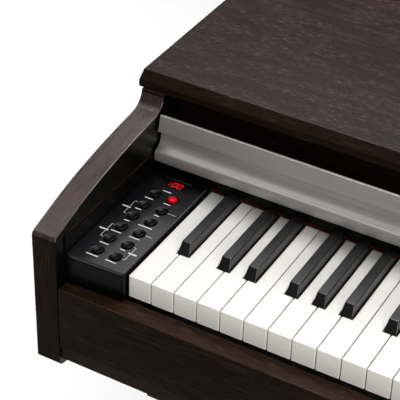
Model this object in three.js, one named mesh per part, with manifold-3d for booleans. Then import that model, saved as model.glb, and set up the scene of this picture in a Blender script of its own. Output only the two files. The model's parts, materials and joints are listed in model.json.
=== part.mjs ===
// Digital piano on its stand: 88 keys, left-hand control block, sliding key cover, three pedals.
// Units are millimetres, +Z up, the player sits on the -Y side and the bass keys are at -X.
// The origin is on the floor, at the centre of the footprint.
import * as THREE from 'three';
import { mergeVertices } from 'three/addons/utils/BufferGeometryUtils.js';
import Module from 'manifold-3d';

// ---------------------------------------------------------------- driving dimensions
const KEY_TOP = 735;            // white key tops above the floor
const DEPTH_CENTRE = 211;       // distance from the white key fronts back to the origin
const WHITE_PITCH = 23.5;       // one white key plus its gap
const KEY_GAP = 1.0;            // gap between neighbouring white keys
const WHITE_COUNT = 52;
const WHITE_LIP = 23.4;         // height of a white key's front lip
const WHITE_DEEP = 14;          // depth of a white key's body behind the lip
const WHITE_REAR = 236;         // rear end of the white keys
const WHITE_PIVOT_Y = 228;      // key hinge line, whites
const BLACK_WIDE = 11.9;        // black key at the level of the white tops
const BLACK_NARROW = 8.1;       // flat top of a black key
const BLACK_FRONT = 51.5;       // front foot of a black key
const BLACK_TOP_FRONT = 58;     // where the flat top starts
const BLACK_HIGH = 10.3;        // black key above the white tops
const BLACK_CAP_REAR = 146.5;   // rear end of the black cap
const BLACK_REAR = 222;         // rear end of the black stick
const BLACK_CLEAR = 1.0;        // gap between a black key and the notch around it
const NOTCH_FRONT = 50.4;       // front edge of the notch in the white keys
const FIT = 0.3;                // gap between touching boards

const CHEEK_IN = 672.8;         // inner face of each side panel, from the middle
const PANEL_THICK = 25.5;       // side panels
const LID_HALF = 703.8;           // half the width of the lid
const LID_BOTTOM = 80.3;        // underside of the lid above the key tops
const LID_TOP = 95;             // top of the lid above the key tops
const LID_FRONT = 167.5;        // front edge of the lid
const LID_REAR = 446;
const SLIP_TOP = -26;           // top of the key slip, below the key tops
const SLIP_FRONT = -24;         // front face of the key slip
const BED_TOP = -95.3;          // top of the key bed
const BED_THICK = 18;
const BLOCK_FRONT = -8.7;       // front of the control block beside the keys
const BLOCK_TOP = 7.6;          // top of the control block above the key tops
const BLOCK_SIDE = 1.5;         // gap between the block and the last key
const BLOCK_WIDE = 59.0;        // width of the control block
const BLOCK_REAR = 150;
const TRACK_Z = 24.5;           // level of the key cover's slide track
const TRACK_HIGH = 3.3;         // height of the track groove
const TRACK_DEEP = 6.0;         // depth of the groove in the side panel
const COVER_TRAVEL = 155;       // how far the key cover slides out
const BUTTON_ROWS = [38.4, 19.0];     // the two rows of buttons, to the left of the first key
const BUTTON_FIRST_Y = 8.4;
const BUTTON_PITCH = 20.1;
const BUTTON_HOLE_R = 6.1;
const BUTTON_CAP_R = 4.8;
const FOOT_HIGH = 60;

// ---------------------------------------------------------------- helpers
const wasm = await Module();
wasm.setup();

const X0 = -(WHITE_COUNT * WHITE_PITCH - KEY_GAP) / 2;   // left edge of the first white key
const Y = (y) => y - DEPTH_CENTRE;                        // depth measured from the white key fronts
const Z = (z) => z + KEY_TOP;                             // height measured from the white key tops

const tidy = (geometry) => {
  const g = geometry.clone();
  for (const name of Object.keys(g.attributes)) if (name !== 'position') g.deleteAttribute(name);
  g.clearGroups();
  return mergeVertices(g, 1e-4);
};
const solid = (geometry) => {
  const g = tidy(geometry);
  return new wasm.Manifold(new wasm.Mesh({
    numProp: 3,
    vertProperties: new Float32Array(g.attributes.position.array),
    triVerts: new Uint32Array(g.index.array),
  }));
};
const surface = (manifold) => {
  const m = manifold.getMesh();
  const g = new THREE.BufferGeometry();
  const points = new Float32Array(m.numVert * 3);
  for (let i = 0; i < m.numVert; i++) for (let k = 0; k < 3; k++) points[3 * i + k] = m.vertProperties[i * m.numProp + k];
  g.setAttribute('position', new THREE.BufferAttribute(points, 3));
  g.setIndex(new THREE.BufferAttribute(new Uint32Array(m.triVerts), 1));
  return g;
};
const join = (...parts) => surface(parts.map(solid).reduce((a, b) => a.add(b)));
const cut = (base, ...tools) => surface(tools.map(solid).reduce((a, b) => a.subtract(b), solid(base)));

const box = (x0, x1, y0, y1, z0, z1) =>
  new THREE.BoxGeometry(x1 - x0, y1 - y0, z1 - z0).translate((x0 + x1) / 2, (y0 + y1) / 2, (z0 + z1) / 2);
// a side outline, given as [y, z] points, drawn out along X
const alongX = (outline, x0, x1) => {
  const shape = new THREE.Shape(outline.map(([y, z]) => new THREE.Vector2(y, z)));
  const g = new THREE.ExtrudeGeometry(shape, { depth: x1 - x0, bevelEnabled: false, steps: 1 });
  g.applyMatrix4(new THREE.Matrix4().set(0, 0, 1, x0, 1, 0, 0, 0, 0, 1, 0, 0, 0, 0, 0, 1));
  return g;
};
// a plan outline, given as [x, y] points, drawn out along Z
const alongZ = (outline, z0, z1) => {
  const shape = new THREE.Shape(outline.map(([x, y]) => new THREE.Vector2(x, y)));
  return new THREE.ExtrudeGeometry(shape, { depth: z1 - z0, bevelEnabled: false, steps: 1 }).translate(0, 0, z0);
};
// a turned piece standing on Z, given as [radius, height] points that start and end on the axis
const turned = (profile, segments, x, y) =>
  new THREE.LatheGeometry(profile.map(([r, z]) => new THREE.Vector2(r, z)), segments)
    .rotateX(Math.PI / 2).translate(x, y, 0);
const shiftYZ = (outline) => outline.map(([y, z]) => [Y(y), Z(z)]);
const mirrored = (geometry) => {
  const g = tidy(geometry);
  g.scale(-1, 1, 1);
  const index = g.index.array;
  for (let i = 0; i < index.length; i += 3) [index[i + 1], index[i + 2]] = [index[i + 2], index[i + 1]];
  return g;
};

const paint = (color, roughness, metalness = 0) => new THREE.MeshStandardMaterial({ color, roughness, metalness });
const WOOD = paint(0x3a2d28, 0.55);
const WOOD_EDGE = paint(0x2c211c, 0.6);
const ALU = paint(0xa3a09a, 0.38, 0.9);
const BLACK = paint(0x17181b, 0.3);
const PANEL = paint(0x34363c, 0.45);
const IVORY = paint(0xf3f1ea, 0.2);
const EBONY = paint(0x2c2c30, 0.5);
const FELT = paint(0x7a1018, 0.95);
const STEEL = paint(0x9c9ea2, 0.4, 0.8);
const BRASS = paint(0xb08d45, 0.3, 0.9);
const BOARD = paint(0x1f5a35, 0.6);
const SMOKED = paint(0x220608, 0.1);
const RED = paint(0xd0101c, 0.35);
const CONE = paint(0x202022, 0.85);

const piano = new THREE.Group();
const stand = new THREE.Group();
const keyboard = new THREE.Group();
const controls = new THREE.Group();
const cover = new THREE.Group();
piano.add(stand, keyboard, controls, cover);
const add = (group, name, geometry, material) => {
  const mesh = new THREE.Mesh(geometry, material);
  mesh.name = name;
  group.add(mesh);
};

// ---------------------------------------------------------------- side panels
// The upper edge is the cheek beside the keys; it rises to the lid in a short hollow curve.
const cheekTop = [
  [-24, 23.5], [-23.8, 26.2], [-23.1, 28.3], [-21.8, 29.9], [-19.8, 31.0], [-16.5, 32.1], [-9, 34.4], [-3.8, 36.0], [10.6, 40.5],
  [25.2, 44.8], [40.7, 48.7], [58, 52.1], [75.9, 55.3], [93.4, 58.2], [113.8, 60.7], [134.9, 62.9], [148, 64.6],
  [154.6, 66.5], [159.2, 69.8], [162.2, 74.2], [163.4, 77.4], [164.1, LID_BOTTOM - FIT],
];
const kneeCurve = [
  [224, -KEY_TOP + FOOT_HIGH + FIT], [224, -330], [221, -270], [212, -222], [196, -186], [172, -160], [140, -143],
  [100, -133], [50, -127], [-14, -123], [-20, -121.5], [-24, -117],
];
const sideOutline = shiftYZ([...cheekTop, [440, LID_BOTTOM - FIT], [440, -KEY_TOP + FOOT_HIGH + FIT], ...kneeCurve]);
const leftPanel = cut(
  alongX(sideOutline, -CHEEK_IN - PANEL_THICK, -CHEEK_IN),
  box(-CHEEK_IN - TRACK_DEEP, -CHEEK_IN + 5, Y(-6), Y(352), Z(TRACK_Z), Z(TRACK_Z + TRACK_HIGH)),
);
add(stand, 'side_panel_left', leftPanel, WOOD);
add(stand, 'side_panel_right', mirrored(leftPanel), WOOD);

// long floor boards under the side panels
const footOutline = shiftYZ([
  [-6, -KEY_TOP], [-6, -KEY_TOP + 26], [2, -KEY_TOP + 38], [40, -KEY_TOP + 50], [110, -KEY_TOP + FOOT_HIGH],
  [440, -KEY_TOP + FOOT_HIGH], [440, -KEY_TOP],
]);
const leftFoot = alongX(footOutline, -CHEEK_IN - PANEL_THICK - 3, -CHEEK_IN);
add(stand, 'foot_left', leftFoot, WOOD);
add(stand, 'foot_right', mirrored(leftFoot), WOOD);

// ---------------------------------------------------------------- cabinet boards
const innerHalf = CHEEK_IN - FIT;
add(stand, 'lid', alongX(shiftYZ([
  [LID_FRONT, LID_BOTTOM], [LID_FRONT, 86.6], [168.2, 88.2], [175.6, 94.1], [177.8, LID_TOP], [LID_REAR - 1.5, LID_TOP],
  [LID_REAR, LID_TOP - 1.5], [LID_REAR, LID_BOTTOM],
]), -LID_HALF, LID_HALF), WOOD);

const speakerX = 430;
const speakerY = Y(330);
const SPEAKER_R = 56;
const bed = box(-innerHalf, innerHalf, Y(-20), Y(419.5), Z(BED_TOP - BED_THICK), Z(BED_TOP));
const speakerHole = (x) => new THREE.CylinderGeometry(SPEAKER_R, SPEAKER_R, 60, 28).rotateX(Math.PI / 2).translate(x, speakerY, Z(BED_TOP - 9));
add(stand, 'key_bed', cut(bed, speakerHole(-speakerX), speakerHole(speakerX)), WOOD_EDGE);

add(stand, 'key_slip', alongX(shiftYZ([
  [SLIP_FRONT, BED_TOP + FIT], [SLIP_FRONT, SLIP_TOP - 1.6], [SLIP_FRONT + 0.5, SLIP_TOP - 0.5], [SLIP_FRONT + 1.6, SLIP_TOP],
  [-2.6, SLIP_TOP], [-2.6, BED_TOP + FIT],
]), -innerHalf + 0.6, innerHalf - 0.6), WOOD);

const REAR_Y = 420;
const inletX = 300;
const inletZ = -60;
add(stand, 'rear_panel', cut(
  box(-innerHalf, innerHalf, Y(REAR_Y), Y(REAR_Y + 15), Z(BED_TOP - BED_THICK), Z(LID_BOTTOM - FIT)),
  box(inletX - 14.3, inletX + 14.3, Y(REAR_Y - 5), Y(REAR_Y + 25), Z(inletZ - 11.3), Z(inletZ + 11.3)),
), WOOD_EDGE);
add(stand, 'fascia_board', box(-innerHalf, innerHalf, Y(177), Y(189), Z(66), Z(LID_BOTTOM - FIT)), WOOD_EDGE);
add(stand, 'stand_back_board', box(-innerHalf, innerHalf, Y(392), Y(408), 240, 590), WOOD);

// ---------------------------------------------------------------- pedal beam and pedals
const BEAM_FRONT = 172;
const BEAM_REAR = 262;
const BEAM_LOW = 30;
const BEAM_TOP = 106;
const PEDAL_X = [-70, 0, 70];
const PEDAL_Z = 62;
const PEDAL_PIVOT_Y = 236;
const beamTools = [
  box(-innerHalf + 12, innerHalf - 12, Y(BEAM_FRONT + 10), Y(BEAM_REAR - 10), BEAM_LOW - 5, BEAM_TOP - 10),
  ...PEDAL_X.map((x) => box(x - 15, x + 15, Y(BEAM_FRONT - 5), Y(BEAM_FRONT + 15), BEAM_LOW - 5, PEDAL_Z + 14)),
];
add(stand, 'pedal_beam', cut(box(-innerHalf, innerHalf, Y(BEAM_FRONT), Y(BEAM_REAR), BEAM_LOW, BEAM_TOP), ...beamTools), WOOD);
const pedalOutline = (x) => {
  const plan = [[x - 5, Y(244)], [x - 6.5, Y(170)], [x - 8, Y(130)], [x - 11.5, Y(98)], [x - 12.5, Y(78)], [x - 11, Y(64)],
    [x - 7, Y(55.5)], [x, Y(52)], [x + 7, Y(55.5)], [x + 11, Y(64)], [x + 12.5, Y(78)], [x + 11.5, Y(98)], [x + 8, Y(130)],
    [x + 6.5, Y(170)], [x + 5, Y(244)]];
  return alongZ(plan.reverse(), PEDAL_Z, PEDAL_Z + 6.5);
};
['pedal_soft', 'pedal_sostenuto', 'pedal_damper'].forEach((name, i) => add(stand, name, pedalOutline(PEDAL_X[i]), BRASS));

// ---------------------------------------------------------------- music rest, folded down on the lid
add(stand, 'music_rest', join(
  box(-250, 250, Y(262), Y(430), Z(LID_TOP + 1.2), Z(LID_TOP + 9.2)),
  box(-250, 250, Y(244), Y(264), Z(LID_TOP + 1.2), Z(LID_TOP + 14.2)),
), WOOD);

// ---------------------------------------------------------------- keyboard
add(keyboard, 'keyboard_chassis', alongX(shiftYZ([
  [6, BED_TOP + FIT], [6, -46], [60, -46], [60, -40], [66, -40], [66, -46], [204, -46], [204, -17], [238, -17],
  [238, BED_TOP + FIT], [230, BED_TOP + FIT], [230, -54], [16, -54], [16, BED_TOP + FIT],
]), X0 - 0.5, -X0 + 0.5), STEEL);

// note names from the lowest key: the pattern of whites and blacks
const LETTERS = ['a', 'b', 'c', 'd', 'e', 'f', 'g'];
const BLACK_AFTER = { a: 3.3, c: -1.8, d: 1.8, f: -3.3, g: 0 };   // offset of the black key from the gap after that white
const whites = [];
const blacks = [];
for (let i = 0; i < WHITE_COUNT; i++) {
  const letter = LETTERS[i % 7];
  const octave = Math.floor((i + 5) / 7);
  whites.push({ i, letter, octave, x0: X0 + i * WHITE_PITCH, x1: X0 + (i + 1) * WHITE_PITCH - KEY_GAP });
  if (letter in BLACK_AFTER && i < WHITE_COUNT - 1) {
    blacks.push({ after: i, letter, octave, x: X0 + (i + 1) * WHITE_PITCH - KEY_GAP / 2 + BLACK_AFTER[letter] });
  }
}
const NOTCH = BLACK_WIDE / 2 + BLACK_CLEAR;
const whitePlan = ({ i, x0, x1 }) => {
  const left = blacks.find((b) => b.after === i - 1);
  const right = blacks.find((b) => b.after === i);
  const front = Y(NOTCH_FRONT);
  const rear = Y(WHITE_REAR);
  const xl = left ? Math.max(x0, left.x + NOTCH) : x0;
  const xr = right ? Math.min(x1, right.x - NOTCH) : x1;
  const plan = [[x0, Y(0)], [x1, Y(0)]];
  if (xr < x1) plan.push([x1, front], [xr, front]);
  plan.push([xr, rear], [xl, rear]);
  if (xl > x0) plan.push([xl, front], [x0, front]);
  return plan;
};
const whiteSolid = (key) => solid(alongZ(whitePlan(key), Z(-WHITE_DEEP), Z(0)))
  .add(solid(box(key.x0, key.x1, Y(0), Y(14), Z(-WHITE_LIP), Z(-2))));
const prism = (low, high) => {   // a four-sided block between two level rectangles [x0, x1, y0, y1, z]
  const corners = ([x0, x1, y0, y1, z]) => [[x0, y0, z], [x1, y0, z], [x1, y1, z], [x0, y1, z]];
  const g = new THREE.BufferGeometry();
  g.setAttribute('position', new THREE.BufferAttribute(new Float32Array([...corners(low), ...corners(high)].flat()), 3));
  g.setIndex([0, 2, 1, 0, 3, 2, 4, 5, 6, 4, 6, 7, 0, 1, 5, 0, 5, 4, 1, 2, 6, 1, 6, 5, 2, 3, 7, 2, 7, 6, 3, 0, 4, 3, 4, 7]);
  return g;
};
const blackSolid = ({ x }) => solid(prism(
  [x - BLACK_WIDE / 2, x + BLACK_WIDE / 2, Y(BLACK_FRONT), Y(BLACK_CAP_REAR), Z(-1)],
  [x - BLACK_NARROW / 2, x + BLACK_NARROW / 2, Y(BLACK_TOP_FRONT), Y(BLACK_CAP_REAR - 1), Z(BLACK_HIGH)],
)).add(solid(box(x - BLACK_WIDE / 2 + 0.3, x + BLACK_WIDE / 2 - 0.3, Y(BLACK_FRONT + 0.4), Y(BLACK_REAR), Z(-WHITE_DEEP), Z(-0.5))));

const SEPARATE_WHITES = 7;   // the lowest octave has one node per key
for (const key of whites.slice(0, SEPARATE_WHITES)) {
  add(keyboard, `white_key_${key.letter}${key.octave}`, surface(whiteSolid(key)), IVORY);
}
for (const key of blacks.filter((b) => b.after < SEPARATE_WHITES)) {
  add(keyboard, `black_key_${key.letter}_sharp${key.octave}`, surface(blackSolid(key)), EBONY);
}
const restWhites = whites.slice(SEPARATE_WHITES);
const restBlacks = blacks.filter((b) => b.after >= SEPARATE_WHITES);
const whiteBar = box(restWhites[0].x0 + 2, restWhites.at(-1).x1 - 2, Y(226), Y(WHITE_REAR), Z(-WHITE_DEEP), Z(-4));
const blackBar = box(restBlacks[0].x - 4, restBlacks.at(-1).x + 4, Y(200), Y(214), Z(3), Z(9));
add(keyboard, 'white_key_set', surface(restWhites.map(whiteSolid).reduce((a, b) => a.add(b), solid(whiteBar))), IVORY);
add(keyboard, 'black_key_set', surface(restBlacks.map((key) => blackSolid(key)
  .add(solid(box(key.x - 3, key.x + 3, Y(202), Y(212), Z(-4), Z(4))))).reduce((a, b) => a.add(b), solid(blackBar))), EBONY);

// rail and felt that close the keyboard at the back
const railHalf = CHEEK_IN - 2.2;
add(keyboard, 'name_rail', surface(solid(box(-railHalf, railHalf, Y(152.6), Y(163), Z(8.6), Z(14.2)))
  .add(solid(box(X0 - 0.6, -X0 + 0.6, Y(148.9), Y(162.9), Z(4.6), Z(14.1))))), BLACK);
add(keyboard, 'red_felt_strip', box(X0 - 0.6, -X0 + 0.6, Y(148.6), Y(152.2), Z(0.9), Z(4.3)), FELT);

// ---------------------------------------------------------------- control block at the bass end
const blockIn = -X0 + BLOCK_SIDE;               // distance of the block's key-side wall from the middle
const blockOut = blockIn + BLOCK_WIDE;
const blockPlan = [
  [-blockOut, Y(BLOCK_FRONT - 2.2)], [-blockIn, Y(BLOCK_FRONT)], [-blockIn, Y(BLOCK_REAR)], [-blockOut, Y(BLOCK_REAR)],
];
const hollowPlan = [
  [-blockOut + 2.5, Y(BLOCK_FRONT + 1)], [-blockIn - 2.5, Y(BLOCK_FRONT + 3)], [-blockIn - 2.5, Y(BLOCK_REAR - 2.5)],
  [-blockOut + 2.5, Y(BLOCK_REAR - 2.5)],
];
const BLOCK_LOW = SLIP_TOP + FIT;
const buttons = [];
const buttonNames = [
  ['button_left_1', 'button_left_2', 'button_left_3', 'button_left_4', 'button_left_5', 'button_left_6'],
  ['button_right_1', 'button_right_2', 'button_right_3', 'button_right_4', 'button_right_5', 'button_right_6'],
];
BUTTON_ROWS.forEach((dx, row) => {
  for (let i = 0; i < 6; i++) buttons.push({ name: buttonNames[row][i], x: X0 - dx, y: Y(BUTTON_FIRST_Y + i * BUTTON_PITCH) });
});
const displayX = X0 - 29.3;
const displayY = Y(131.5);
const holeAt = (x, y, r, n) => new THREE.CylinderGeometry(r, r, 12, n).rotateX(Math.PI / 2).translate(x, y, Z(BLOCK_TOP - 2));
add(controls, 'control_block', cut(
  alongZ(blockPlan, Z(BLOCK_LOW), Z(BLOCK_TOP)),
  alongZ(hollowPlan, Z(BLOCK_LOW - 5), Z(BLOCK_TOP - 3)),
  ...buttons.map((b) => holeAt(b.x, b.y, BUTTON_HOLE_R, 20)),
  box(displayX - 14.5, displayX + 14.5, displayY - 8, displayY + 8, Z(BLOCK_TOP - 6), Z(BLOCK_TOP + 4)),
), PANEL);
add(controls, 'display_window', box(displayX - 14.2, displayX + 14.2, displayY - 7.7, displayY + 7.7, Z(BLOCK_TOP - 2.8), Z(BLOCK_TOP - 0.3)), SMOKED);
buttons.forEach((b) => add(controls, b.name, turned([
  [0, Z(0.9)], [BUTTON_HOLE_R + 1.2, Z(0.9)], [BUTTON_HOLE_R + 1.2, Z(BLOCK_TOP - 3.5)], [BUTTON_CAP_R, Z(BLOCK_TOP - 3.5)],
  [BUTTON_CAP_R, Z(BLOCK_TOP + 0.6)], [BUTTON_CAP_R - 0.8, Z(BLOCK_TOP + 1.3)], [0, Z(BLOCK_TOP + 1.3)],
], 16, b.x, b.y), b.name === 'button_right_6' ? RED : BLACK));

// ---------------------------------------------------------------- end block at the treble end
const volumeX = blockIn + 19;
const volumeY = Y(62);
const powerX = blockIn + 40;
const powerY = Y(100);
add(controls, 'end_block', cut(
  mirrored(alongZ(blockPlan, Z(BLOCK_LOW), Z(BLOCK_TOP))),
  mirrored(alongZ(hollowPlan, Z(BLOCK_LOW - 5), Z(BLOCK_TOP - 3))),
  box(volumeX - 1.6, volumeX + 1.6, volumeY - 19, volumeY + 19, Z(BLOCK_TOP - 6), Z(BLOCK_TOP + 4)),
  holeAt(powerX, powerY, 6.6, 20),
), PANEL);
add(controls, 'volume_knob', join(
  box(volumeX - 4.5, volumeX + 4.5, volumeY - 3.5, volumeY + 3.5, Z(BLOCK_TOP + 0.4), Z(BLOCK_TOP + 7)),
  box(volumeX - 1.1, volumeX + 1.1, volumeY - 2.5, volumeY + 2.5, Z(BLOCK_TOP - 8), Z(BLOCK_TOP + 2)),
), BLACK);
add(controls, 'power_button', turned([
  [0, Z(0)], [7.8, Z(0)], [7.8, Z(BLOCK_TOP - 3.5)], [6.1, Z(BLOCK_TOP - 3.5)], [6.1, Z(BLOCK_TOP + 1.4)],
  [5.3, Z(BLOCK_TOP + 2.2)], [0, Z(BLOCK_TOP + 2.2)],
], 18, powerX, powerY), BLACK);

// ---------------------------------------------------------------- track liners beside the blocks
const linerIn = CHEEK_IN - 1.5;
const leftLiner = box(-CHEEK_IN + FIT, -linerIn, Y(-9.5), Y(352), Z(BLOCK_LOW), Z(TRACK_Z - 0.2));
add(cover, 'track_liner_left', leftLiner, BLACK);
add(cover, 'track_liner_right', mirrored(leftLiner), BLACK);

// ---------------------------------------------------------------- sliding key cover, pushed back
const railEnd = CHEEK_IN - 1.9;
add(cover, 'cover_rail', alongX(shiftYZ([
  [147.9, 16.3], [145.1, 17.6], [143.8, 20.3], [143.5, 24.5], [143.9, 28.0], [147.4, 30.8], [151.2, 32.8], [153.9, 35.6],
  [155.2, 39.2], [155.6, 43.9], [155.5, 46.4], [149.9, 48.3], [149.6, 50.3], [150.6, 53.5], [153.4, 64.2], [154.4, 64.9], [156.0, 64.9],
  [157.4, 64.0], [158.6, 46], [158.2, 34], [153.4, 27], [152.0, 20.0], [151.4, 17.4],
]), -railEnd, railEnd), ALU);
add(cover, 'cover_board', alongX(shiftYZ([
  [158.9, 47.4], [158.9, 53.4], [346, 53.4], [346, 47.4],
]), -railEnd + 1, railEnd - 1), WOOD);
const runner = join(
  box(-CHEEK_IN - TRACK_DEEP + 0.6, -railEnd + 4, Y(159.2), Y(346), Z(TRACK_Z + 0.5), Z(TRACK_Z + 2.7)),
  box(-railEnd + 1, -railEnd + 4, Y(159.2), Y(346), Z(TRACK_Z + 0.5), Z(47.1)),
);
add(cover, 'cover_runner_left', runner, BLACK);
add(cover, 'cover_runner_right', mirrored(runner), BLACK);

// ---------------------------------------------------------------- inside the case
const cone = (x) => turned([
  [0, Z(BED_TOP + 18)], [16, Z(BED_TOP + 14)], [50, Z(BED_TOP + 2)], [54, Z(BED_TOP + 0.4)], [66, Z(BED_TOP + 0.4)],
  [66, Z(BED_TOP + 4.5)], [58, Z(BED_TOP + 6)], [34, Z(BED_TOP + 30)], [34, Z(BED_TOP + 48)], [0, Z(BED_TOP + 48)],
], 24, x, speakerY);
add(stand, 'speaker_left', cone(-speakerX), CONE);
add(stand, 'speaker_right', cone(speakerX), CONE);
add(controls, 'main_board', join(
  box(-150, 150, Y(262), Y(402), Z(BED_TOP + 10), Z(BED_TOP + 12)),
  box(-60, 0, Y(300), Y(340), Z(BED_TOP + 11), Z(BED_TOP + 20)),
  box(40, 110, Y(350), Y(385), Z(BED_TOP + 11), Z(BED_TOP + 32)),
  ...[[-140, 272], [140, 272], [-140, 392], [140, 392]].map(([x, y]) => box(x - 4, x + 4, Y(y) - 4, Y(y) + 4, Z(BED_TOP + FIT), Z(BED_TOP + 11))),
), BOARD);
add(controls, 'power_inlet', cut(
  join(
    box(inletX - 14, inletX + 14, Y(REAR_Y - 14), Y(REAR_Y + 15.2), Z(inletZ - 11), Z(inletZ + 11)),
    box(inletX - 18, inletX + 18, Y(REAR_Y + 15.2), Y(REAR_Y + 17.4), Z(inletZ - 14), Z(inletZ + 14)),
  ),
  box(inletX - 9, inletX + 9, Y(REAR_Y + 1), Y(REAR_Y + 30), Z(inletZ - 6), Z(inletZ + 6)),
), BLACK);
const jackX = -560;
const jackZ = BED_TOP - BED_THICK - 14;
add(controls, 'headphone_box', cut(
  box(jackX - 32, jackX + 32, Y(2), Y(52), Z(jackZ - 13), Z(BED_TOP - BED_THICK - FIT)),
  ...[-14, 14].map((dx) => new THREE.CylinderGeometry(3.6, 3.6, 40, 20).translate(jackX + dx, Y(6), Z(jackZ))),
), BLACK);

export default piano;
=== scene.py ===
import math
import json

import bpy
import bmesh
from mathutils import Matrix, Vector, noise as mnoise

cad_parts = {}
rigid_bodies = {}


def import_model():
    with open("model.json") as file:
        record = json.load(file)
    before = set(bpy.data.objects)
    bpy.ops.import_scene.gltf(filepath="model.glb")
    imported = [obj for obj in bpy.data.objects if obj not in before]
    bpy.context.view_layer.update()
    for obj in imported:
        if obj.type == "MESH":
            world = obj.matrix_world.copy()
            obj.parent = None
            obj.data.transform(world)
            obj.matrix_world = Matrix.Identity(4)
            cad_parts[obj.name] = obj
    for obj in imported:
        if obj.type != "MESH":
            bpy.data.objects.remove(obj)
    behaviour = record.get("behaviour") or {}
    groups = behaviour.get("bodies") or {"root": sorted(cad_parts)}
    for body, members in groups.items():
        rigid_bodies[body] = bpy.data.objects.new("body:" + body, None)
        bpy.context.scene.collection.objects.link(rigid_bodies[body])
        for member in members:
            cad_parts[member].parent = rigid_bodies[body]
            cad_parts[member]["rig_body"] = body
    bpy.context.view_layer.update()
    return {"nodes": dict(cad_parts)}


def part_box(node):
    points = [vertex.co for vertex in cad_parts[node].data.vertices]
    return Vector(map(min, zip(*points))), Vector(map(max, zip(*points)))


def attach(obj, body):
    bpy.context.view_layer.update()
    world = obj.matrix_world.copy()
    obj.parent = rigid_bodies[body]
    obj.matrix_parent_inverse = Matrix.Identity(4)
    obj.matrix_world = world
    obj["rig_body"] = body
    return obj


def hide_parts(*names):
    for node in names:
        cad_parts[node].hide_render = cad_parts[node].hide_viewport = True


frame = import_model()
NODES = frame["nodes"]
SCN = bpy.context.scene

# ------------------------------------------------------------------ frame of reference
# Local millimetres: origin at the front-left-top corner of the lowest white key, x to the treble, y back, z up.
key0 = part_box("white_key_a0")
ORG = Vector((key0[0].x, key0[0].y, key0[1].z))


def P(x, y, z):
    return Vector((ORG.x + x / 1000.0, ORG.y + y / 1000.0, ORG.z + z / 1000.0))


PITCH, GAP, WHITES = 23.5, 1.0, 52
XR = WHITES * PITCH - GAP            # right edge of the last white key
XM = XR / 2.0                        # middle of the keyboard
CHEEK_L = XM - 672.8                 # inner face of the left cheek
CHEEK_R = XM + 672.8
FLOOR_Z = -ORG.z * 1000.0            # floor level in local millimetres


# ------------------------------------------------------------------ camera
def camera():
    az, el, roll = math.radians(-28.85994197), math.radians(36.40548806), math.radians(1.75194091)
    d = Vector((math.sin(az) * math.cos(el), math.cos(az) * math.cos(el), -math.sin(el)))
    r = d.cross(Vector((0, 0, 1))).normalized()
    u = r.cross(d)
    r2 = r * math.cos(roll) + u * math.sin(roll)
    u2 = u * math.cos(roll) - r * math.sin(roll)
    cam = bpy.data.cameras.new("camera")
    ob = bpy.data.objects.new("camera", cam)
    SCN.collection.objects.link(ob)
    m = Matrix(((r2.x, u2.x, -d.x, -0.04903), (r2.y, u2.y, -d.y, -1.10170), (r2.z, u2.z, -d.z, 1.59663), (0, 0, 0, 1)))
    ob.matrix_world = m
    cam.sensor_width = 36.0
    cam.lens = 1515.15077447 / 400.0 * 36.0
    cam.clip_start, cam.clip_end = 0.05, 60.0
    SCN.camera = ob
    return ob


camera()


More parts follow.
